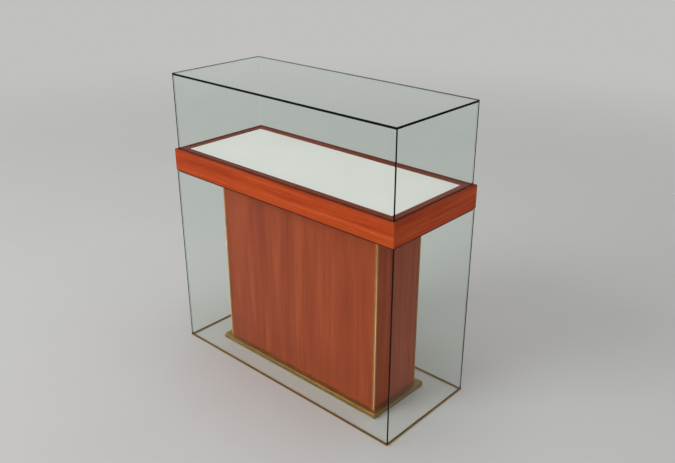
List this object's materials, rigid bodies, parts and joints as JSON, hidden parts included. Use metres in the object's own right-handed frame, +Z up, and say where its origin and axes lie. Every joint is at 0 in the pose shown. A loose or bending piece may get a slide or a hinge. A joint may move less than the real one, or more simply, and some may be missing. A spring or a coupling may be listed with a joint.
{
  "type": "glazed display podium",
  "caption": "Glazed display podium: a lift-off glass bonnet on a hardwood tray with a white display board, on a veneered pedestal inside a glass skirt.",
  "frame": {"origin": "on the floor, under the centre of the podium", "axes": "+X along the long side to the right, -Y towards the viewer at the front, +Z up"},
  "size_m": [1.2, 0.5, 1.25],
  "materials": {
    "tray_hardwood": "satin lacquered reddish hardwood",
    "pedestal_veneer": "satin lacquered upright veneer",
    "inner_timber": "planed, unfinished",
    "plywood": "sanded, unfinished",
    "white_board": "matt white lacquer on board",
    "clear_glass": "polished float glass, faintly green",
    "satin_brass": "satin brass",
    "dark_rubber": "matt brown",
    "zinc_steel": "zinc plated"
  },
  "bodies": {
    "stand": {"base_board": "plywood", "base_screws": "zinc_steel", "bonnet_seal_back": "dark_rubber", "bonnet_seal_front": "dark_rubber", "bonnet_seal_left": "dark_rubber", "bonnet_seal_right": "dark_rubber", "brass_corner_back_left": "satin_brass", "brass_corner_back_right": "satin_brass", "brass_corner_front_left": "satin_brass", "brass_corner_front_right": "satin_brass", "cross_bearer_left": "inner_timber", "cross_bearer_right": "inner_timber", "floor_pads": "dark_rubber", "mitre_splines": "inner_timber", "pedestal_batten_back_left": "inner_timber", "pedestal_batten_back_right": "inner_timber", "pedestal_batten_front_left": "inner_timber", "pedestal_batten_front_right": "inner_timber", "pedestal_panel_back": "pedestal_veneer", "pedestal_panel_front": "pedestal_veneer", "pedestal_panel_left": "pedestal_veneer", "pedestal_panel_right": "pedestal_veneer", "pedestal_top_panel": "plywood", "plinth_trim_back": "satin_brass", "plinth_trim_front": "satin_brass", "plinth_trim_left": "satin_brass", "plinth_trim_right": "satin_brass", "skirt_bedding_back": "dark_rubber", "skirt_bedding_front": "dark_rubber", "skirt_bedding_left": "dark_rubber", "skirt_bedding_right": "dark_rubber", "skirt_channel_back": "satin_brass", "skirt_channel_front": "satin_brass", "skirt_channel_left": "satin_brass", "skirt_channel_right": "satin_brass", "skirt_pane_back": "clear_glass", "skirt_pane_front": "clear_glass", "skirt_pane_left": "clear_glass", "skirt_pane_right": "clear_glass", "skirt_seal_back": "dark_rubber", "skirt_seal_front": "dark_rubber", "skirt_seal_left": "dark_rubber", "skirt_seal_right": "dark_rubber", "tray_bolts": "zinc_steel", "tray_deck": "plywood", "tray_rail_back": "tray_hardwood", "tray_rail_front": "tray_hardwood", "tray_rail_left": "tray_hardwood", "tray_rail_right": "tray_hardwood", "tray_tee_nuts": "zinc_steel", "tray_washers": "zinc_steel"},
    "bonnet": {"bonnet_pane_back": "clear_glass", "bonnet_pane_front": "clear_glass", "bonnet_pane_left": "clear_glass", "bonnet_pane_right": "clear_glass", "bonnet_pane_top": "clear_glass"},
    "board": {"display_board": "white_board"}
  },
  "joints": [
    {"name": "bonnet_lift", "type": "slide", "parent": "stand", "child": "bonnet", "axis": [0, 0, 1], "range_m": [0, 0.35]},
    {"name": "display_board_lift", "type": "slide", "parent": "stand", "child": "board", "axis": [0, 0, 1], "range_m": [0, 0.25]}
  ]
}
